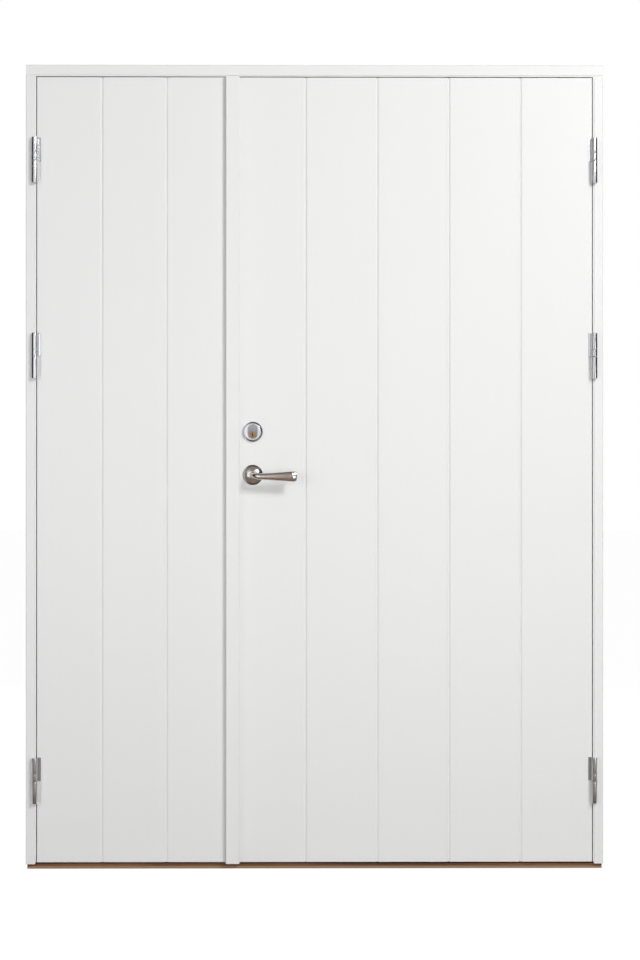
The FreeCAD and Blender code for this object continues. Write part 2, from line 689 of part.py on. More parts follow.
def make_cylinder():
    """The oval lock cylinder with its turning key plug and the knob inside."""
    front = f"({LEAF_FRONT} - Size.ring_depth - Size.cylinder_stand_out)"
    back = f"({LEAF_BACK} + Size.ring_depth)"
    case = new_body("cylinder_case", (SPINDLE_X, back, CYLINDER_LEVEL))
    pad(case, oval(case, "cylinder_shape", "Size.cylinder_width", "Size.cylinder_height"), f"{back} - {front}")
    plug_level = f"({CYLINDER_LEVEL} - Size.plug_drop)"
    bore = rod("plug_bore", "Size.plug_radius + Size.plug_clearance", "Size.plug_length + Size.plug_stand_out",
               (SPINDLE_X, f"{front} + Size.plug_length", plug_level), OUTWARDS)
    keep("cylinder_body", cut("cylinder_case_bored", case, bore))

    plug = rod("plug_blank", "Size.plug_radius",
               "Size.plug_length + Size.plug_stand_out - Size.plug_clearance",
               (SPINDLE_X, f"{front} + Size.plug_length - Size.plug_clearance", plug_level), OUTWARDS)
    plug_front = f"({front} - Size.plug_stand_out)"
    slot = block("key_slot", about(SPINDLE_X, "Size.key_slot_width"),
                 (plug_front, f"{plug_front} + Size.key_slot_depth"), about(plug_level, "Size.key_slot_height"))
    keep("cylinder_plug", cut("plug_slotted", plug, slot))

    knob = new_body("knob", (SPINDLE_X, f"{back} + Size.thumb_turn_depth", CYLINDER_LEVEL))
    pad(knob, oval(knob, "knob_shape", "Size.thumb_turn_width", "Size.thumb_turn_length"), "Size.thumb_turn_depth")
    keep("thumb_turn", knob)


make_head()
make_threshold()
make_seals()
for frame_side in SIDES:
    make_jamb(frame_side)
    for hinge_level in HINGE_LEVELS:
        make_hinge(frame_side, hinge_level)
make_active_leaf()
make_passive_leaf()
make_astragal()
for leaf_face in FACES:
    make_rose(leaf_face)
    make_lever(leaf_face)
    make_ring(leaf_face)
make_cylinder()
doc.recompute()

# Nothing is written unless every object and every piece is sound

for item in doc.Objects:
    if "Invalid" in item.State or "Error" in item.State:
        raise RuntimeError(f"{item.Name} failed: {item.State}")
for piece in parts:
    if piece.Shape.isNull() or not piece.Shape.isValid():
        raise RuntimeError(f"{piece.Label} has no sound shape")

os.makedirs("parts", exist_ok=True)
for piece in parts:
    piece.Shape.exportStep(f"parts/{piece.Label}.step")
    print(f"{piece.Label}: {len(piece.Shape.Solids)} solid, {piece.Shape.Volume / 1000:.1f} cm3")
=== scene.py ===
import math

import bpy
import numpy as np
from mathutils import Euler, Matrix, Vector


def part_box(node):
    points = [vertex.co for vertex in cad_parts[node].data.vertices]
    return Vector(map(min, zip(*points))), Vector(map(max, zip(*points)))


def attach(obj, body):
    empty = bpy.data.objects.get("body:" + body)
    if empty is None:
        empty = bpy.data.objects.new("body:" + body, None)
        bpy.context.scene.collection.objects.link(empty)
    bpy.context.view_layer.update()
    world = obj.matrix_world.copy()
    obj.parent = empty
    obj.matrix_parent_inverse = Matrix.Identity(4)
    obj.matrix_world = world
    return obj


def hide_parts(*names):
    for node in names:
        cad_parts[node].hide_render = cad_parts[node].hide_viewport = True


bl_info = {
    "name": "Double exterior door",
    "version": (1, 0, 0),
    "blender": (4, 5, 0),
    "location": "View3D > Sidebar > Door",
    "description": "Finishes a boarded double exterior door: paint, hinges, handle, lock and studio",
    "category": "Object",
}

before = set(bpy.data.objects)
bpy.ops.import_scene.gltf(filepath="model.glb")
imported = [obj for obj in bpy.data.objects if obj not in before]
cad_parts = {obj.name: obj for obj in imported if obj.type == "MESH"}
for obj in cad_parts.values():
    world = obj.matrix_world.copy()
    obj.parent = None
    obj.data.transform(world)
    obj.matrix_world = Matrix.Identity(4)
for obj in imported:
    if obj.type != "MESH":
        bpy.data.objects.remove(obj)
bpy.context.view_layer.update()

FULL_TURN = 2 * math.pi
SIDES = {"left": -1, "right": 1}
LEVELS = ("top", "middle", "bottom")


# Places read from the frame

def middle_of(node):
    """The middle of a node's box."""
    low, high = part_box(node)
    return (low + high) / 2


SKIN_LOW, SKIN_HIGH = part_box("active_outer_skin")
LINING_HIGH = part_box("active_inner_skin")[1]
LEAF_FRONT, LEAF_BACK, LEAF_EDGE = SKIN_LOW.y, LINING_HIGH.y, SKIN_HIGH.x
FACE_Y = {"outside": LEAF_FRONT, "inside": LEAF_BACK}
OUTWARD = {"outside": -1, "inside": 1}
SPINDLE = middle_of("rose_outside")
LOCK = middle_of("cylinder_body")
PLATE_Y = middle_of("lock_faceplate").y
HINGE_AXIS = abs(middle_of("hinge_frame_right_top").x)


# Sizes and colours that a user would change

def length(name, description, default, low=0.0, high=1.0):
    """A length property, in metres."""
    return bpy.props.FloatProperty(name=name, description=description, default=default, min=low, max=high,
                                   subtype="DISTANCE", unit="LENGTH", precision=4)


def colour(name, description, default):
    """A plain colour property."""
    return bpy.props.FloatVectorProperty(name=name, description=description, default=default, size=3,
                                         subtype="COLOR", min=0.0, max=1.0)


def power(name, description, default):
    """A lamp's power, in watts."""
    return bpy.props.FloatProperty(name=name, description=description, default=default, min=0.0, unit="POWER")


class DoorFinishSettings(bpy.types.PropertyGroup):
    """Colours of the painted, wooden and metal surfaces, and the height of the paint's texture."""
    paint: colour("Paint", "The white of the painted boards", (0.84, 0.84, 0.835))
    dust: colour("Dust", "What has settled low on the boards", (0.60, 0.57, 0.52))
    oak_light: colour("Light grain", "The oak between its growth lines", (0.24, 0.112, 0.052))
    oak_dark: colour("Dark grain", "The oak's growth lines", (0.12, 0.055, 0.026))
    # Painted light: paler oak for the lit lower edge of the threshold's front.
    oak_painted_lit: colour("Worn oak", "The oak along its worn foot", (0.38, 0.245, 0.155))
    zinc: colour("Zinc", "The hinges' plating", (0.74, 0.745, 0.76))
    nickel: colour("Nickel", "The handle and its rose", (0.62, 0.575, 0.535))
    satin: colour("Satin chrome", "The lock's rings", (0.78, 0.78, 0.81))
    brass: colour("Brass", "The key plug", (0.42, 0.245, 0.125))
    texture: length("Paint texture", "Height of the sprayed paint's texture", 0.00005)


class DoorHingeSettings(bpy.types.PropertyGroup):
    """The lift-off hinges and the frame's lip beside them."""
    upper: length("Upper knuckle", "Length of the leaf's knuckle", 0.060)
    collar: length("Collar", "Height of the collar at the upper knuckle's foot", 0.0187)
    groove: length("Groove", "Width of the turned groove over the collar", 0.0009)
    gap: length("Bearing gap", "Gap between the two knuckles", 0.0008)
    plate: length("Plate", "Thickness of the hinge plates", 0.002)
    wing: length("Wing", "Width of the wing on the leaf's face", 0.0095)
    screw: length("Screw", "Radius of a screw's head", 0.0038)
    lip: length("Frame's lip", "Width of the frame's painted lip beside the leaf", 0.0026)


class DoorHandleSettings(bpy.types.PropertyGroup):
    """The levers and their roses."""
    bend: length("Bend", "Radius of the line along which the neck turns into the lever", 0.019)
    neck: length("Neck", "Radius of the neck", 0.0064)
    root: length("Root height", "Height of the lever beside its bend", 0.0152)
    thickness: length("Thickness", "Thickness of the lever at its tip", 0.0146)
    drop: length("Drop", "How far the lever lies below the spindle", 0.0045)
    band: length("Tip band", "Length of the bevelled band round the tip", 0.0064)
    crown: length("Crown", "Length of the domed end", 0.0042)
    hole: length("Rose hole", "Radius of the hole that the neck turns in", 0.0067)
    rim: length("Rose rim", "Height of the rose's upright rim", 0.0016)


class DoorLockSettings(bpy.types.PropertyGroup):
    """The cylinder's rings and the edge plates' screws."""
    ring_face: length("Ring face", "Radius of the ring's flat face", 0.0212)
    rim: length("Ring rim", "Height of the ring's upright rim", 0.0044)
    clearance: length("Clearance", "Gap between the ring and the oval cylinder", 0.0002)
    screw: length("Screw", "Radius of a screw's head", 0.0042)


class DoorStageSettings(bpy.types.PropertyGroup):
    """The camera and the studio."""
    distance: length("Distance", "From the camera to the door's outside face", 4.70, high=20.0)
    lens: bpy.props.FloatProperty(name="Lens", description="Focal length for a picture 36 mm high",
                                  default=68.3, min=10.0, unit="CAMERA")
    key: power("Key", "Power of the lamp at the upper right", 105.0)
    fill: power("Fill", "Power of the lamp at the left", 26.0)
    front: power("Front", "Power of the lamp in front", 30.0)
    back: power("Back", "Power of the lamp behind the door", 70.0)


# Shader maths

class Socket:
    """A shader output that takes part in Python expressions through Math nodes."""

    def __init__(self, finish, link):
        self.finish = finish
        self.link = link

    def maths(self, operation, first, second):
        """A Math node on two outputs or values."""
        return self.finish.node("ShaderNodeMath", {"operation": operation}, first, second)

    def __add__(self, other):
        return self.maths("ADD", self, other)

    def __mul__(self, other):
        return self.maths("MULTIPLY", self, other)

    def __sub__(self, other):
        return self.maths("SUBTRACT", self, other)

    def __rsub__(self, other):
        return self.maths("SUBTRACT", other, self)

    def __pow__(self, other):
        return self.maths("POWER", self, other)

    __radd__ = __add__
    __rmul__ = __mul__


class Shading:
    """A material's or a world's node tree, with one method that adds any node to it."""

    def __init__(self, owner):
        owner.use_nodes = True
        self.tree = owner.node_tree

    def node(self, kind, options, *values, output=0, sockets=None, **named):
        """A node of that kind: its options first, then its sockets in order, by number or by name."""
        added = self.tree.nodes.new(kind)
        for key, option in options.items():
            setattr(added, key, option)
        for key, given in {**dict(enumerate(values)), **(sockets or {}), **named}.items():
            self.plug(added.inputs[key], given)
        return Socket(self, added.outputs[output])

    def plug(self, socket, given):
        """Links a Socket, or sets a plain value."""
        if isinstance(given, Socket):
            self.tree.links.new(given.link, socket)
        elif socket.type == "RGBA":
            socket.default_value = (*given, 1.0)
        else:
            socket.default_value = given

    def seen(self):
        """1 for camera, glossy and transmission rays, and 0 for all others."""
        kinds = ("Is Camera Ray", "Is Glossy Ray", "Is Transmission Ray")
        camera, glossy, passing = (self.node("ShaderNodeLightPath", {}, output=kind) for kind in kinds)
        return camera + glossy + passing


class Finish(Shading):
    """A new material on the standard surface shader."""

    def __init__(self, name, **constants):
        self.material = bpy.data.materials.new(name)
        super().__init__(self.material)
        self.shader = self.tree.nodes["Principled BSDF"]
        for socket_name, constant in constants.items():
            self.feed(socket_name.replace("_", " "), constant)

    def feed(self, socket_name, given):
        """Sets or links one of the surface shader's own sockets."""
        self.plug(self.shader.inputs[socket_name], given)

    def place(self, scale=(1.0, 1.0, 1.0)):
        """Object coordinates, each axis scaled."""
        where = self.node("ShaderNodeTexCoord", {}, output="Object")
        return self.node("ShaderNodeMapping", {}, where, Scale=scale)

    def noise(self, where, scale, detail=3.0, roughness=0.5):
        """Smooth noise about 0.5."""
        return self.node("ShaderNodeTexNoise", {}, Vector=where, Scale=scale, Detail=detail,
                         Roughness=roughness)

    def climb(self, factor, low, high):
        """0 below low, 1 above high and a straight climb between."""
        return self.node("ShaderNodeMapRange", {"clamp": True}, factor, low, high, 0.0, 1.0)

    def mix(self, factor, first, second):
        """Two colours mixed: sockets 6 and 7, and output 2, are the Mix node's colours."""
        return self.node("ShaderNodeMix", {"data_type": "RGBA"}, factor, output=2,
                         sockets={6: first, 7: second})

    def height(self):
        """The place's Z, in metres above the ground."""
        return self.node("ShaderNodeSeparateXYZ", {}, self.place(), output="Z")

    def bump(self, height, distance):
        """Feeds the surface's normal from a height, in metres where the height is 1."""
        self.feed("Normal", self.node("ShaderNodeBump", {}, Height=height, Distance=distance))


def settings():
    """All of the door's property groups."""
    return bpy.context.scene.door


def shade_of(tint, share):
    """A colour darkened to a share of itself."""
    return tuple(share * channel for channel in tint)


def white_paint():
    """Sprayed satin paint: fine orange peel, faint unevenness along Z and dust low down."""
    chosen = settings().finish
    finish = Finish("white_paint", Specular_IOR_Level=0.4)
    where = finish.place()
    broad = finish.noise(where, 1.7, 2.0)
    brushed = finish.noise(finish.place((60.0, 60.0, 2.5)), 1.0)
    low_down = 1.0 - finish.climb(finish.height(), 0.0, 0.16)
    specks = finish.climb(finish.noise(where, 240.0, 3.0, 0.7), 0.60, 0.78)
    dirt = low_down ** 2.2 * (0.08 + 0.25 * specks)
    base = finish.mix(0.5 * broad + 0.5 * brushed, shade_of(chosen.paint, 0.98), chosen.paint)
    finish.feed("Base Color", finish.mix(dirt, base, chosen.dust))
    finish.feed("Roughness", 0.34 + 0.10 * finish.noise(where, 9.0) + 0.2 * dirt)
    peel = finish.noise(where, 900.0, 2.0)
    waves = finish.noise(finish.place((1.0, 1.0, 0.35)), 60.0, 2.0)
    finish.bump(0.45 * peel + 0.55 * waves, chosen.texture)
    return finish.material


def oiled_oak():
    """Oak with its grain along X, darker pores in it and painted light along its foot, a paler lit strip."""
    chosen = settings().finish
    finish = Finish("oiled_oak", Specular_IOR_Level=0.22)
    growth = finish.noise(finish.place((1.3, 30.0, 30.0)), 2.2, 5.0, 0.6)
    pores = finish.noise(finish.place((14.0, 420.0, 420.0)), 1.0, 3.0, 0.6)
    board = finish.mix(finish.climb(growth, 0.38, 0.64), chosen.oak_light, chosen.oak_dark)
    grain = finish.climb(pores, 0.56, 0.72) * 0.6
    # Painted light: the lowest few millimetres are painted paler, as if lit below the shadow of the frame and
    # leaves.
    painted_lit = (1.0 - finish.climb(finish.height(), 0.005, 0.008)) * (0.6 + 0.4 * growth)
    base = finish.mix(grain, board, shade_of(chosen.oak_dark, 0.55))
    finish.feed("Base Color", finish.mix(painted_lit, base, chosen.oak_painted_lit))
    finish.feed("Roughness", 0.50 + 0.22 * pores)
    finish.bump(pores * 0.6 + growth * 0.4, 0.0004)
    return finish.material


def metal(name, base, roughness, wear, stretch=(1.0, 1.0, 1.0), scale=700.0, height=0.000004, dark=0.88):
    """Metal with soft smudges and fine lines, which are drawn out along the axis whose stretch is small. Its
    darkest spots are the base colour times dark."""
    finish = Finish(name, Metallic=1.0)
    smudge = finish.noise(finish.place(), 38.0)
    lines = finish.noise(finish.place(stretch), scale, 3.0, 0.6)
    shine = finish.climb(0.4 * smudge + 0.6 * lines, 0.3, 0.7)
    finish.feed("Base Color", finish.mix(shine, shade_of(base, dark), base))
    finish.feed("Roughness", roughness + wear * smudge + 0.5 * wear * lines)
    finish.bump(lines, height)
    return finish.material


def seal_rubber():
    """Matt pale seal rubber with a faint bloom."""
    finish = Finish("pale_rubber", Specular_IOR_Level=0.3)
    bloom = finish.noise(finish.place(), 70.0, 4.0)
    finish.feed("Base Color", finish.mix(bloom, (0.42, 0.42, 0.42), (0.50, 0.50, 0.49)))
    finish.feed("Roughness", 0.62 + 0.2 * bloom)
    finish.bump(finish.noise(finish.place(), 800.0, 2.0), 0.00004)
    return finish.material


def dark_recess():
    """Painted shade: a near-black colour for the unlit inside of a keyway or of a screw's slot."""
    finish = Finish("dark_recess", Specular_IOR_Level=0.2)
    # The painted shade varies a little from spot to spot.
    shade_variation = finish.noise(finish.place(), 900.0, 2.0)
    finish.feed("Base Color", finish.mix(shade_variation, (0.012, 0.010, 0.008), (0.035, 0.028, 0.022)))
    finish.feed("Roughness", 0.6 + 0.2 * shade_variation)
    return finish.material


MAKERS = {
    "paint": white_paint,
    "oak": oiled_oak,
    "zinc": lambda: metal("zinc_plate", settings().finish.zinc, roughness=0.17, wear=0.10,
                          stretch=(1.0, 1.0, 0.1), height=0.000002),
    "edge_steel": lambda: metal("brushed_steel", (0.62, 0.62, 0.62), roughness=0.28, wear=0.14,
                                stretch=(1.0, 1.0, 0.03), scale=1500.0, height=0.00001),
    "nickel": lambda: metal("polished_nickel", settings().finish.nickel, roughness=0.09, wear=0.08,
                            stretch=(0.05, 1.0, 1.0)),
    "satin": lambda: metal("satin_chrome", settings().finish.satin, roughness=0.17, wear=0.10),
    "cast": lambda: metal("cast_cylinder", (0.54, 0.54, 0.56), roughness=0.32, wear=0.2, scale=430.0,
                          height=0.00015, dark=0.32),
    "brass": lambda: metal("worn_brass", settings().finish.brass, roughness=0.26, wear=0.2, scale=1200.0,
                           height=0.00001),
    "rubber": seal_rubber,
    "dark": dark_recess,
}
made = {}


def material(name):
    """A finish, made the first time it is asked for."""
    if name not in made:
        made[name] = MAKERS[name]()
    return made[name]


# Surfaces

def lattice(rows, columns, closed=False):
    """Quads between neighbouring points of a grid whose columns wrap round, and its rows too where closed."""
    row, column = np.meshgrid(np.arange(rows if closed else rows - 1), np.arange(columns), indexing="ij")
    row, column = row.ravel(), column.ravel()
    next_row, next_column = (row + 1) % rows, (column + 1) % columns
    return np.stack([row * columns + column, next_row * columns + column, next_row * columns + next_column,
                     row * columns + next_column], axis=1)


def capped(sections):
    """A closed shell over a stack of sections, rows by columns by XYZ, with a flat face on both ends."""
    rows, columns, _ = sections.shape
    ends = np.stack([np.arange(columns)[::-1], np.arange(columns) + (rows - 1) * columns])
    return sections.reshape(-1, 3), lattice(rows, columns), ends


def looped(sections):
    """A closed ring over sections whose last joins the first."""
    rows, columns, _ = sections.shape
    return sections.reshape(-1, 3), lattice(rows, columns, closed=True), np.zeros((0, columns), int)


def outward(points, quads, ends):
    """The shell's faces, turned round if they face inwards: then the sum of a . (b x c) over its triangles
    is negative."""
    fans = [ends[:, [0, k, k + 1]] for k in range(1, ends.shape[1] - 1)]
    a, b, c = points[np.concatenate([quads[:, [0, 1, 2]], quads[:, [0, 2, 3]], *fans])].transpose(1, 0, 2)
    if np.einsum("ij,ij->", a, np.cross(b, c)) < 0:
        return quads[:, ::-1], ends[:, ::-1]
    return quads, ends


def make_piece(name, shells, body, finish, smooth=35.0, replaces=()):
    """One mesh object from closed shells, which rides on a body and may stand for CAD nodes."""
    points, faces, start = [], [], 0
    for shell_points, quads, ends in shells:
        centred = shell_points - shell_points.mean(axis=0)
        quads, ends = outward(centred, quads, ends)
        points.append(shell_points)
        faces += (quads + start).tolist() + (ends + start).tolist()
        start += len(shell_points)
    mesh = bpy.data.meshes.new(name)
    mesh.from_pydata(np.concatenate(points).tolist(), [], faces)
    mesh.shade_smooth()
    mesh.set_sharp_from_angle(angle=math.radians(smooth))
    mesh.materials.append(material(finish))
    piece = bpy.data.objects.new(name, mesh)
    bpy.context.scene.collection.objects.link(piece)
    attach(piece, body)
    if replaces:
        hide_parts(*replaces)


def softened(profile, radius, steps=5):
    """A profile whose inner corners P become curves (1-t)^2 A + 2t(1-t) P + t^2 B, between points A and B on
    both sides of the corner, a radius from it where there is room."""
    profile = np.asarray(profile, float)
    before, corner, after = profile[:-2], profile[1:-1], profile[2:]
    back, on = before - corner, after - corner
    back_length, on_length = (np.linalg.norm(side, axis=1, keepdims=True) for side in (back, on))
    reach = np.minimum(radius, 0.45 * np.minimum(back_length, on_length))
    t = np.linspace(0.0, 1.0, steps)[None, :, None]
    first, last = corner + back / back_length * reach, corner + on / on_length * reach
    curves = (1 - t) ** 2 * first[:, None] + 2 * t * (1 - t) * corner[:, None] + t ** 2 * last[:, None]
    return np.concatenate([profile[:1], curves.reshape(-1, 2), profile[-1:]])


# For each axis, which of r cos a, r sin a and the place along it gives X, Y and Z
AXES = {"x": (2, 0, 1), "y": (0, 2, 1), "z": (0, 1, 2)}


def turned(profile, centre, axis, segments=96):
    """A surface of revolution about an axis: each point of the profile, its radius r and its place along the
    axis, gives a circle r cos a, r sin a."""
    angle = np.linspace(0.0, FULL_TURN, segments, endpoint=False)
    radius, along = np.asarray(profile, float).T
    circles = np.stack([radius[:, None] * np.cos(angle), radius[:, None] * np.sin(angle),
                        np.repeat(along[:, None], segments, axis=1)], axis=2)
    return circles[:, :, AXES[axis]] + np.asarray(centre, float)


def slab(low, high, bevel=0.0004, steps=2):
    """A box with chamfered edges: an outline with its corners cut, carried up in Z, and drawn in by
    bevel (1 - cos t) near both ends."""
    low, high = np.minimum(low, high), np.maximum(low, high)
    half = (high - low) / 2
    bevel = min(bevel, 0.9 * half.min())
    t = np.linspace(0.0, math.pi / 2, steps)
    quarter = np.repeat(np.arange(4), steps)
    angle = np.tile(t, 4) + quarter * math.pi / 2
    sign_x, sign_y = np.array([1, -1, -1, 1])[quarter], np.array([1, 1, -1, -1])[quarter]
    inset = np.concatenate([bevel * (1 - np.sin(t)), bevel * (1 - np.cos(t))])
    level = np.concatenate([bevel * (1 - np.cos(t)) - half[2], half[2] - bevel * (1 - np.sin(t))])
    radius = (bevel - 0.98 * inset)[:, None]
    x = sign_x * (half[0] - bevel) + radius * np.cos(angle)
    y = sign_y * (half[1] - bevel) + radius * np.sin(angle)
    z = np.repeat(level[:, None], len(angle), axis=1)
    return capped(np.stack([x, y, z], axis=2) + (low + high) / 2)


def oval_radius(angle, width, height):
    """The distance from the middle of an upright oval, two half circles joined by straight sides, to its edge
    at an angle: half the width over the cosine along the sides, and the circle's own distance at the ends."""
    half, lift = width / 2, (height - width) / 2
    across, up = np.abs(np.cos(angle)), np.abs(np.sin(angle))
    with_side = half / np.maximum(across, 1e-9)
    with_end = lift * up + np.sqrt(np.maximum(half ** 2 - (lift * across) ** 2, 0.0))
    return np.where(with_side * up <= lift, with_side, with_end)


# A screw head's rise, and half the length and width of its cross's bars in shares of the head's radius
SCREW_RISE = 0.0003
CROSS_LENGTH, CROSS_WIDTH = 0.55, 0.12


def screws(name, places, facing, radius, body, finish):
    """Countersunk heads that face along X, slightly domed, each with a cross of painted shade on it, thin
    dark boxes for the shade in the slot: a turned profile, its radii in shares of the head's radius and its
    levels in shares of the rise."""
    profile = np.array([(0.05, 1.0), (0.6, 0.8), (0.93, 0.2), (1.0, -0.2), (0.6, -5.0), (0.05, -5.0)])
    profile *= (radius, facing * SCREW_RISE)
    make_piece(name, [capped(turned(profile, place, "x", 28)) for place in places], body, finish)
    # Painted shade: each cross is two thin near-black boxes on the head, standing for the shade in the slot.
    painted_shade_crosses = []
    for place in places:
        centre = np.add(place, (facing * 0.75 * SCREW_RISE, 0.0, 0.0))
        for across, up in ((CROSS_LENGTH, CROSS_WIDTH), (CROSS_WIDTH, CROSS_LENGTH)):
            reach = np.array([0.35 * SCREW_RISE, across * radius, up * radius])
            painted_shade_crosses.append(slab(centre - reach, centre + reach, 0.00005))
    make_piece(f"{name}_crosses", painted_shade_crosses, body, "dark")


# The frame

def make_lips():
    """The frame's narrow painted lips, which leave only a thin line round the leaves."""
    setback, depth, bevel = 0.0004, 0.0024, 0.0003
    front, back = LEAF_FRONT + setback, LEAF_FRONT + setback + depth
    head = SKIN_HIGH.z + HINGE_AXIS - LEAF_EDGE
    inner, foot = HINGE_AXIS - settings().hinge.lip, head - settings().hinge.lip
    shells = [slab((way * inner, front, SKIN_LOW.z), (way * HINGE_AXIS, back, foot), bevel)
              for way in SIDES.values()]
    shells.append(slab((-HINGE_AXIS, front, foot), (HINGE_AXIS, back, head), bevel))
    make_piece("frame_lips", shells, "frame", "paint")


# The hinges

def knuckle(axis_x, axis_y, bottom, top, radius, groove_level=None):
    """A round knuckle with softened ends, and a turned groove where a level is given."""
    depth, slope, pole = 0.0006, 0.0002, 0.0002
    profile = [(pole, bottom), (radius, bottom)]
    if groove_level is not None:
        half = settings().hinge.groove / 2
        low, high = groove_level - half, groove_level + half
        floor = radius - depth
        profile += [(radius, low), (floor, low + slope), (floor, high - slope), (radius, high)]
    profile += [(radius, top), (pole, top)]
    return capped(turned(softened(profile, 0.0007), (axis_x, axis_y, 0.0), "z"))


def make_hinge(side, level):
    """The frame's half and the leaf's half of one lift-off hinge. Each has a knuckle, a plate in the gap with
    three screws and a neck between them, and the leaf's half has a wing on the leaf's face."""
    chosen = settings().hinge
    way = SIDES[side]
    tag = f"{side}_{level}"
    low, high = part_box(f"hinge_frame_{tag}")
    radius = (high.x - low.x) / 2
    axis_x, axis_y, back = way * HINGE_AXIS, low.y + radius, high.y
    plate_front = LEAF_FRONT + 0.003
    neck_back = plate_front + 0.001
    split = high.z - chosen.upper
    lower_top = split - chosen.gap
    leaf_body = {"left": "passive_leaf", "right": "active_leaf"}[side]

    inner, outer = way * (HINGE_AXIS - chosen.plate), way * HINGE_AXIS
    shells = [
        knuckle(axis_x, axis_y, low.z, lower_top, radius),
        slab((inner, plate_front, low.z), (outer, back, high.z)),
        slab((inner, axis_y, low.z), (outer, neck_back, lower_top)),
    ]
    make_piece(f"hinge_frame_half_{tag}", shells, "frame", "zinc",
               replaces=[f"hinge_frame_{tag}"])

    edge, beyond = way * LEAF_EDGE, way * (LEAF_EDGE + chosen.plate)
    wing_end, wing_back, wing_bevel = way * (LEAF_EDGE - chosen.wing), LEAF_FRONT + chosen.plate, 0.0006
    shells = [
        knuckle(axis_x, axis_y, split, high.z, radius, split + chosen.collar),
        slab((edge, plate_front, low.z), (beyond, back, high.z)),
        slab((edge, axis_y, split), (beyond, neck_back, high.z)),
        slab((edge, LEAF_FRONT, split), (wing_end, wing_back, high.z), wing_bevel),
    ]
    make_piece(f"hinge_leaf_half_{tag}", shells, leaf_body, "zinc",
               replaces=[f"hinge_leaf_{tag}"])

    stagger, margin = 0.006, 0.018
    levels = np.linspace(low.z + margin, high.z - margin, 3)
    rows = (plate_front + back) / 2 + stagger * np.array([1, -1, 1])
    for name, body, at, facing in (("frame", "frame", inner, -way), ("leaf", leaf_body, beyond, way)):
        places = [(at, row, z) for row, z in zip(rows, levels)]
        screws(f"hinge_{name}_screws_{tag}", places, facing, chosen.screw, body, "zinc")


# The handle

def lever_sections(face):
    """A lever as a section carried along a line: straight out from the rose, round a quarter circle and along
    X. At each row the section is an oval, whose cosine and sine are raised to a power just under 1 to square
    it a little. Its height and thickness grow smoothly from the round neck to the flared tip, where both
    shrink over a bevelled band and then as cosines over the crown."""
    chosen = settings().handle
    out = OUTWARD[face]
    low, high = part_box(f"lever_{face}")
    front = low.y if face == "outside" else high.y
    face_y = FACE_Y[face]
    thick, tall = chosen.thickness / 2, (high.z - low.z) / 2
    line_y = abs(front - face_y) - thick
    reach = high.x - SPINDLE.x
    straight = line_y - chosen.bend
    arm_end = reach - chosen.crown - chosen.band

    neck_start, dome_end = 0.0004, 0.97 * math.pi / 2
    neck = np.linspace(neck_start, straight, 8)[:-1]
    turn = np.linspace(0.0, math.pi / 2, 22)
    arm = np.linspace(chosen.bend, arm_end, 26)[1:]
    dome = np.linspace(0.0, dome_end, 10)
    tip = arm_end + chosen.band
    band = np.array([0.07, 0.93, 1.0])
    end = np.concatenate([band, dome[1:]])

    x = np.concatenate([0 * neck, chosen.bend * (1 - np.cos(turn)), arm, arm_end + chosen.band * band,
                        tip + chosen.crown * np.sin(dome[1:])])
    y = np.concatenate([neck, straight + chosen.bend * np.sin(turn), 0 * arm + line_y, 0 * end + line_y])
    heading = np.concatenate([0 * neck, turn, 0 * arm + math.pi / 2, 0 * end + math.pi / 2])

    round_part = np.concatenate([0 * neck, turn / turn[-1]])
    ease = round_part ** 2 * (3 - 2 * round_part)
    neck_height = chosen.neck + (chosen.root / 2 - chosen.neck) * ease
    along = (arm - chosen.bend) / (arm_end - chosen.bend)
    flare, root_share, band_shares = 1.05, 0.94, (0.95, 0.68)
    arm_height = chosen.root / 2 + (tall - chosen.root / 2) * along ** flare
    band_height, band_thick = band_shares[0] * tall, band_shares[1] * thick
    height = np.concatenate([neck_height, arm_height, tall + (band_height - tall) * band,
                             band_height * np.cos(dome[1:])])
    neck_thick = chosen.neck + (root_share * thick - chosen.neck) * ease
    arm_thick = thick * (root_share + (1 - root_share) * along)
    thickness = np.concatenate([neck_thick, arm_thick, thick + (band_thick - thick) * band,
                                band_thick * np.cos(dome[1:])])
    past_bend = np.concatenate([ease, 0 * arm + 1.0, 0 * end + 1.0])
    drop = chosen.drop * past_bend

    angle = np.linspace(0.0, FULL_TURN, 72, endpoint=False)
    squareness = 1.0 - 0.14 * past_bend[:, None]
    side = np.sign(np.cos(angle)) * np.abs(np.cos(angle)) ** squareness
    up = np.sign(np.sin(angle)) * np.abs(np.sin(angle)) ** squareness
    across = thickness[:, None] * side
    points_x = x[:, None] - across * np.cos(heading)[:, None]
    points_y = y[:, None] + across * np.sin(heading)[:, None]
    points_z = height[:, None] * up - drop[:, None]
    return np.stack([SPINDLE.x + points_x, face_y + out * points_y, SPINDLE.z + points_z], axis=2)


def make_lever(face):
    """One lever, and the square spindle on the inside one."""
    shells = [capped(lever_sections(face))]
    if face == "inside":
        half, front, back = 0.004, LEAF_FRONT - 0.0003, LEAF_BACK + 0.001
        shells.append(slab((SPINDLE.x - half, front, SPINDLE.z - half),
                           (SPINDLE.x + half, back, SPINDLE.z + half)))
    make_piece(f"lever_handle_{face}", shells, "handle", "nickel", 24.0, [f"lever_{face}"])


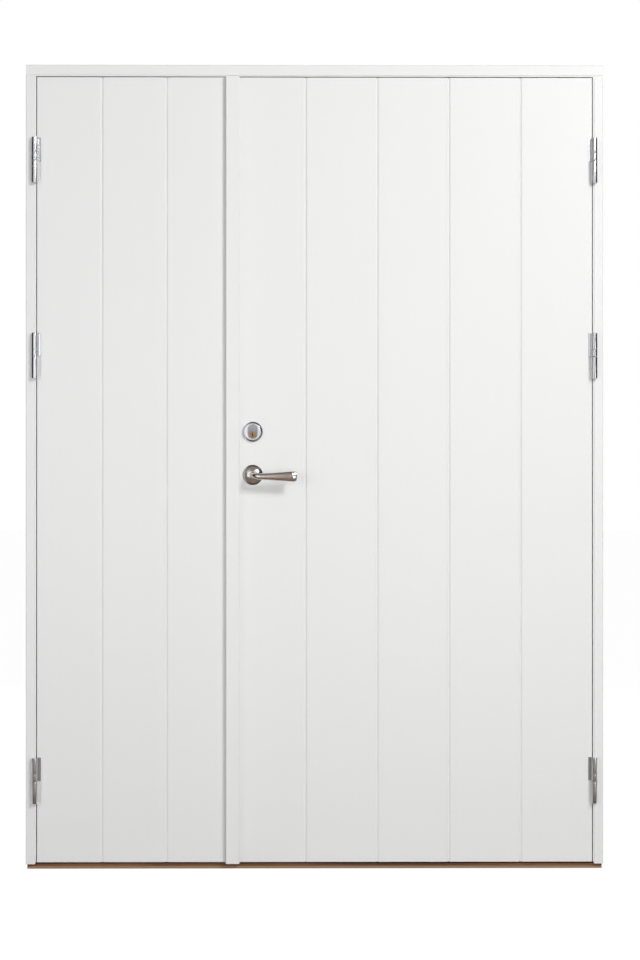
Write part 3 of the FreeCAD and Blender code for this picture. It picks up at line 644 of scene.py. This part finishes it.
def make_rose(face):
    """A round rose with a hole for the neck: a low upright rim, then a dome of height 1 - (r / R)^swell. The
    one inside is nearly flat."""
    chosen = settings().handle
    low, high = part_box(f"rose_{face}")
    radius, depth, out = (high.x - low.x) / 2, high.y - low.y, OUTWARD[face]
    across = np.linspace(radius, chosen.hole + 0.0006, 22)
    swell = {"outside": 2.4, "inside": 7.0}[face]
    dome = chosen.rim + (depth - chosen.rim) * (1 - (across / radius) ** swell)
    start = [(chosen.hole, 0.0), (radius - 0.0002, 0.0), (radius, 0.0003)]
    end = [(chosen.hole, dome[-1] - 0.0005)]
    profile = np.concatenate([start, np.stack([across, dome], axis=1), end]) * (1, out)
    sections = turned(profile, (SPINDLE.x, FACE_Y[face], SPINDLE.z), "y")
    make_piece(f"rose_cover_{face}", [looped(sections)], "active_leaf", "nickel", 50.0,
               [f"rose_{face}"])


# The lock

def make_ring(face):
    """A cover ring: its inner edge follows the oval cylinder and its outer edge is round, so each of its rows
    is a circle but for the last three, which keep to the oval's edge."""
    chosen = settings().lock
    low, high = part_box(f"cylinder_ring_{face}")
    radius, depth, out = (high.x - low.x) / 2, high.y - low.y, OUTWARD[face]
    body_low, body_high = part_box("cylinder_body")
    width = body_high.x - body_low.x + 2 * chosen.clearance
    height = body_high.z - body_low.z + 2 * chosen.clearance
    angle = np.linspace(0.0, FULL_TURN, 128, endpoint=False)
    oval = oval_radius(angle, width, height)
    face_radius = {"outside": chosen.ring_face, "inside": radius - 0.0015}[face]
    rim = {"outside": chosen.rim, "inside": depth - 0.0012}[face]
    profile = softened([(radius - 0.002, 0.0), (radius, 0.0), (radius, rim), (face_radius, depth),
                        (face_radius - 0.001, depth)], 0.0006)
    distance = np.concatenate([np.repeat(profile[:, :1], len(angle), axis=1),
                               np.stack([oval + 0.0004, oval, oval])])
    levels = np.concatenate([profile[:, 1], [depth, depth - 0.0004, 0.0]])
    along = np.repeat(levels[:, None], len(angle), axis=1)
    sections = np.stack([LOCK.x + distance * np.cos(angle), FACE_Y[face] + out * along,
                         LOCK.z + distance * np.sin(angle)], axis=2)
    make_piece(f"ring_cover_{face}", [looped(sections)], "active_leaf", "satin", 30.0,
               [f"cylinder_ring_{face}"])


def make_plug():
    """The key plug's turned face with its rounded edge, and its keyway as painted shade: three dark boxes
    just proud of the face that step sideways on their way up."""
    low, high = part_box("cylinder_plug")
    radius, centre, edge, pole = (high.x - low.x) / 2, (low + high) / 2, 0.0009, 0.0002
    profile = [(pole, low.y), (radius * 0.86, low.y), (radius, low.y + edge), (radius, high.y),
               (pole, high.y)]
    sections = turned(softened(profile, 0.0004), (centre.x, 0.0, centre.z), "y", 64)
    make_piece("key_plug_turned", [capped(sections)], "key_plug", "brass",
               replaces=["cylinder_plug"])
    # Painted shade: the keyway is near-black boxes on the plug's solid face, standing for the shade in the
    # slot.
    half, left, proud, depth = 0.0014, -0.0019, 0.00008, 0.002
    steps = [((-half, half), (-0.0052, 0.0012)), ((left, half), (-0.0004, 0.0020)),
             ((left, 0.0001), (0.0012, 0.0052))]
    shells = [slab((centre.x + x0, low.y - proud, centre.z + z0),
                   (centre.x + x1, low.y + depth, centre.z + z1), 0.0002) for (x0, x1), (z0, z1) in steps]
    make_piece("keyway", shells, "key_plug", "dark")


def make_thumb_turn():
    """The knob on the inside: an oval section, swollen by sin(t) along its length and domed at its end."""
    low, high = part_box("thumb_turn")
    centre, depth = (low + high) / 2, high.y - low.y
    angle = np.linspace(0.0, FULL_TURN, 96, endpoint=False)
    oval = oval_radius(angle, high.x - low.x, high.z - low.z)
    t = np.linspace(0.0, 1.0, 24)
    share = np.concatenate([[0.80], 0.80 + 0.20 * np.sin(t * math.pi / 2) ** 0.8, [0.97, 0.90, 0.78]])
    along = np.concatenate([[0.0], 0.02 + 0.86 * t, [0.945, 0.985, 1.0]])
    sections = np.stack([centre.x + share[:, None] * oval * np.cos(angle),
                         np.repeat((low.y + depth * along)[:, None], len(angle), axis=1),
                         centre.z + share[:, None] * oval * np.sin(angle)], axis=2)
    make_piece("thumb_turn_knob", [capped(sections)], "active_leaf", "nickel",
               replaces=["thumb_turn"])


def plate_screws(name, at, facing, levels, body):
    """Screws along the middle of an edge plate."""
    places = [(at, PLATE_Y, z) for z in levels]
    screws(name, places, facing, settings().lock.screw, body, "edge_steel")


def edge_block(front, back, half_width, middle, half_height, bevel):
    """A block on the middle line of the edge plates, from one place along X to another."""
    return slab((front, PLATE_Y - half_width, middle - half_height),
                (back, PLATE_Y + half_width, middle + half_height), bevel)


def make_edge_fittings():
    """Screws in the edge plates, the drawn-back latch and bolt, and the flush bolts' finger levers."""
    margin, plate_thickness, buried = 0.012, 0.003, 0.02
    low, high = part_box("lock_faceplate")
    lean = (high.x - low.x - plate_thickness) / (high.y - low.y)
    edge = low.x + lean * (PLATE_Y - low.y)
    plate_screws("faceplate_screws", edge, -1, (low.z + margin, high.z - margin), "active_leaf")
    latch = edge_block(edge - 0.0007, edge + buried, 0.006, SPINDLE.z, 0.0115, 0.0015)
    bolt = edge_block(edge - 0.0005, edge + buried, 0.006, LOCK.z, 0.019, 0.0008)
    make_piece("latch_and_bolt", [latch, bolt], "active_leaf", "satin")

    low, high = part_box("strike_plate")
    at = high.x
    levels = (low.z + margin, (SPINDLE.z + LOCK.z) / 2, high.z - margin)
    plate_screws("strike_screws", at, 1, levels, "passive_leaf")
    for end in ("top", "bottom"):
        low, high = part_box(f"flush_bolt_{end}")
        plate_screws(f"flush_bolt_screws_{end}", at, 1, (low.z + margin, high.z - margin), "passive_leaf")
        lever = edge_block(at - 0.0019, at - 0.0003, 0.004, (low.z + high.z) / 2, 0.031, 0.0006)
        make_piece(f"flush_bolt_lever_{end}", [lever], "passive_leaf", "satin")


# The studio

CAMERA_X, CAMERA_Z = -0.0053, 0.9755
CAMERA_TURN = (90.063, 0.0, -0.397)
CAMERA_SHIFT = (-0.0056, 0.0094)
SENSOR_HEIGHT = 36.0
FLOOR_REACH = 40.0
LAMP_TARGET = (0.0, 0.0, 1.1)

# Each lamp's setting, place and size, and whether it shows in reflections
LAMPS = (
    ("key", (2.29, -3.65, 3.25), 0.9, True),
    ("fill", (-2.6, -3.0, 1.2), 1.8, False),
    ("front", (0.6, -3.6, 0.95), 1.6, False),
    ("back", (-1.2, 4.0, 2.2), 1.8, False),
)

# Each card's name, radiance and reach along X, Y and Z. The cards show only in reflections
CARDS = (
    ("front_card", (0.34, 0.32, 0.31), (-7, 7), (-7.5, -7.5), (0.05, 6)),
    ("front_glow", (1.15, 1.15, 1.20), (0.5, 2.8), (-7.4, -7.4), (1.4, 5.5)),
    ("left_card", (0.30, 0.28, 0.27), (-4.5, -4.5), (-7.5, -2.4), (0.05, 6)),
    ("left_dark", (0.010, 0.008, 0.010), (-4.5, -4.5), (-2.4, 6), (0.05, 6)),
    ("right_card", (0.13, 0.12, 0.13), (4.5, 4.5), (-7.5, -2.4), (0.05, 6)),
    ("right_dark", (0.010, 0.008, 0.012), (4.5, 4.5), (-2.4, 6), (0.05, 6)),
    ("top_card", (0.36, 0.33, 0.32), (-4.5, 4.5), (-7.5, -2.4), (6, 6)),
    ("top_dark", (0.03, 0.03, 0.03), (-4.5, 4.5), (-2.4, 3), (6, 6)),
    ("low_card", (0.36, 0.27, 0.205), (-0.4, 0.2), (-7.5, -0.6), (0.05, 0.05)),
    ("low_left", (0.25, 0.25, 0.245), (-4.5, -0.4), (-7.5, -0.6), (0.05, 0.05)),
    ("low_right", (0.25, 0.25, 0.245), (0.2, 4.5), (-7.5, -0.6), (0.05, 0.05)),
    ("low_dark", (0.10, 0.065, 0.045), (-4.5, 4.5), (-0.6, -0.12), (0.05, 0.05)),
    ("bright_card", (1.5, 1.5, 1.55), (-1.9, -0.21), (-2.2, -2.2), (0.5, 1.85)),
    ("upper_glow", (0.75, 0.77, 0.80), (-2.6, -0.85), (-2.25, -2.25), (1.9, 2.9)),
    ("right_glow", (2.6, 2.6, 2.65), (2.2, 4.4), (-4.0, -4.0), (0.05, 1.5)),
)


def make_lamp(name, place, watts, size, reflected):
    """A square area lamp that looks at the door's middle."""
    data = bpy.data.lights.new(name, "AREA")
    data.energy, data.size = watts, size
    lamp = bpy.data.objects.new(name, data)
    lamp.visible_glossy = reflected
    lamp.location = place
    lamp.rotation_euler = (Vector(LAMP_TARGET) - Vector(place)).to_track_quat("-Z", "Y").to_euler()
    bpy.context.scene.collection.objects.link(lamp)


def make_camera():
    """The camera, almost square on to the door."""
    chosen = settings().stage
    data = bpy.data.cameras.new("camera")
    data.sensor_fit, data.sensor_height, data.lens = "VERTICAL", SENSOR_HEIGHT, chosen.lens
    data.shift_x, data.shift_y = CAMERA_SHIFT
    camera = bpy.data.objects.new("camera", data)
    camera.location = (CAMERA_X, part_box("frame_head")[0].y - chosen.distance, CAMERA_Z)
    camera.rotation_euler = Euler([math.radians(turn) for turn in CAMERA_TURN])
    bpy.context.scene.collection.objects.link(camera)
    bpy.context.scene.camera = camera


def stage_material(name, tint, glow, share):
    """Matt colour mixed with a share of even glow for camera, glossy and transmission rays."""
    finish = Finish(name, Base_Color=tint, Roughness=0.9, Specular_IOR_Level=0.0)
    emission = finish.node("ShaderNodeEmission", {}, Color=(glow, glow, glow))
    matt = Socket(finish, finish.shader.outputs[0])
    mixed = finish.node("ShaderNodeMixShader", {}, finish.seen() * share, matt, emission)
    finish.plug(finish.tree.nodes["Material Output"].inputs["Surface"], mixed)
    return finish.material


def make_panel(name, corners, surface, hidden=False):
    """A flat stage panel between four corners. A hidden one shows only in reflections."""
    mesh = bpy.data.meshes.new(name)
    mesh.from_pydata(corners, [], [(0, 1, 2, 3)])
    mesh.materials.append(surface)
    panel = bpy.data.objects.new(name, mesh)
    bpy.context.scene.collection.objects.link(panel)
    if hidden:
        panel.visible_camera = False
        panel.visible_diffuse = False
        panel.visible_shadow = False


def make_card(name, radiance, across, along, up):
    """A glowing card between two corners, upright where its X or Y is fixed and level where its Z is."""
    (x0, x1), (y0, y1), (z0, z1) = across, along, up
    corners = [(x0, y0, z0), (x1, y0, z0), (x1, y1, z1), (x0, y1, z1)]
    if x0 == x1:
        corners = [(x0, y0, z0), (x0, y1, z0), (x0, y1, z1), (x0, y0, z1)]
    finish = Finish(name, Base_Color=(0.0, 0.0, 0.0), Specular_IOR_Level=0.0, Emission_Color=radiance,
                    Emission_Strength=1.0)
    make_panel(name, corners, finish.material, hidden=True)


def make_floor():
    """The pale floor, which keeps the door's shadow."""
    surface = stage_material("studio_floor", (0.35, 0.35, 0.35), glow=1.2, share=0.80)
    signs = ((-1, -1), (1, -1), (1, 1), (-1, 1))
    make_panel("floor", [(x * FLOOR_REACH, y * FLOOR_REACH, 0.0) for x, y in signs], surface)


def make_world():
    """White where a camera, glossy or transmission ray sees it, and a plain dim light otherwise."""
    dim, white = 0.33, 1.0
    world = bpy.data.worlds.new("studio")
    bpy.context.scene.world = world
    shading = Shading(world)
    background = shading.tree.nodes["Background"]
    shading.plug(background.inputs["Color"], (1.0, 1.0, 1.0))
    strength = shading.node("ShaderNodeMapRange", {"clamp": True}, shading.seen(), 0.0, 1.0, dim, white)
    shading.plug(background.inputs["Strength"], strength)


# Operators

PAINTED = ("frame_head", "frame_jamb_left", "frame_jamb_right", "astragal", "active_outer_skin",
           "active_core", "active_inner_skin", "passive_outer_skin", "passive_core", "passive_inner_skin")
CARRIED_OVER = {
    "paint": PAINTED,
    "oak": ("threshold",),
    "rubber": ("seal_head", "seal_left", "seal_right", "seal_threshold"),
    "edge_steel": ("lock_faceplate", "strike_plate", "flush_bolt_top", "flush_bolt_bottom"),
    "cast": ("cylinder_body",),
}


class DOOR_OT_finish_boards(bpy.types.Operator):
    """Give the pieces kept from the CAD their finishes, and add the frame's lips"""
    bl_idname = "door.finish_boards"
    bl_label = "Finish the boards"

    def execute(self, context):
        for finish, nodes in CARRIED_OVER.items():
            for node in nodes:
                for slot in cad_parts[node].material_slots:
                    slot.material = material(finish)
        make_lips()
        return {"FINISHED"}


class DOOR_OT_add_hinges(bpy.types.Operator):
    """Add the six lift-off hinges"""
    bl_idname = "door.add_hinges"
    bl_label = "Add the hinges"

    def execute(self, context):
        for side in SIDES:
            for level in LEVELS:
                make_hinge(side, level)
        return {"FINISHED"}


class DOOR_OT_add_handle(bpy.types.Operator):
    """Add the levers and roses on both faces"""
    bl_idname = "door.add_handle"
    bl_label = "Add the handle"

    def execute(self, context):
        for face in FACE_Y:
            make_lever(face)
            make_rose(face)
        return {"FINISHED"}


class DOOR_OT_add_lock(bpy.types.Operator):
    """Add the cylinder's rings, plug and knob, and the edge fittings"""
    bl_idname = "door.add_lock"
    bl_label = "Add the lock"

    def execute(self, context):
        for face in FACE_Y:
            make_ring(face)
        make_plug()
        make_thumb_turn()
        make_edge_fittings()
        return {"FINISHED"}


class DOOR_OT_set_stage(bpy.types.Operator):
    """Set up the camera, world, floor, lamps and reflected cards"""
    bl_idname = "door.set_stage"
    bl_label = "Set the stage"

    def execute(self, context):
        chosen = settings().stage
        context.scene.view_settings.view_transform = "Standard"
        make_camera()
        make_world()
        make_floor()
        for card in CARDS:
            make_card(*card)
        for name, place, size, reflected in LAMPS:
            make_lamp(f"{name}_lamp", place, getattr(chosen, name), size, reflected)
        return {"FINISHED"}


class DOOR_PT_panel(bpy.types.Panel):
    """Lists the steps that finish the door"""
    bl_idname = "DOOR_PT_panel"
    bl_label = "Double exterior door"
    bl_space_type = "VIEW_3D"
    bl_region_type = "UI"
    bl_category = "Door"

    def draw(self, context):
        for step in STEPS:
            self.layout.operator(step.bl_idname)


class DoorSettings(bpy.types.PropertyGroup):
    """Everything that a user would change."""
    finish: bpy.props.PointerProperty(type=DoorFinishSettings, name="Finishes", description="Surface colours")
    hinge: bpy.props.PointerProperty(type=DoorHingeSettings, name="Hinges", description="Hinge sizes")
    handle: bpy.props.PointerProperty(type=DoorHandleSettings, name="Handle",
                                      description="Lever and rose sizes")
    lock: bpy.props.PointerProperty(type=DoorLockSettings, name="Lock", description="Lock sizes")
    stage: bpy.props.PointerProperty(type=DoorStageSettings, name="Stage", description="Camera and lamps")


STEPS = (DOOR_OT_finish_boards, DOOR_OT_add_hinges, DOOR_OT_add_handle, DOOR_OT_add_lock, DOOR_OT_set_stage)
CLASSES = (DoorFinishSettings, DoorHingeSettings, DoorHandleSettings, DoorLockSettings, DoorStageSettings,
           DoorSettings, *STEPS, DOOR_PT_panel)


def register():
    """Register the classes and give every scene the door's settings."""
    for cls in CLASSES:
        bpy.utils.register_class(cls)
    bpy.types.Scene.door = bpy.props.PointerProperty(type=DoorSettings)


def unregister():
    """Take the settings and the classes away again."""
    del bpy.types.Scene.door
    for cls in reversed(CLASSES):
        bpy.utils.unregister_class(cls)


def main():
    """Finish the door step by step."""
    register()
    bpy.ops.door.finish_boards()
    bpy.ops.door.add_hinges()
    bpy.ops.door.add_handle()
    bpy.ops.door.add_lock()
    bpy.ops.door.set_stage()


if __name__ == "__main__":
    main()
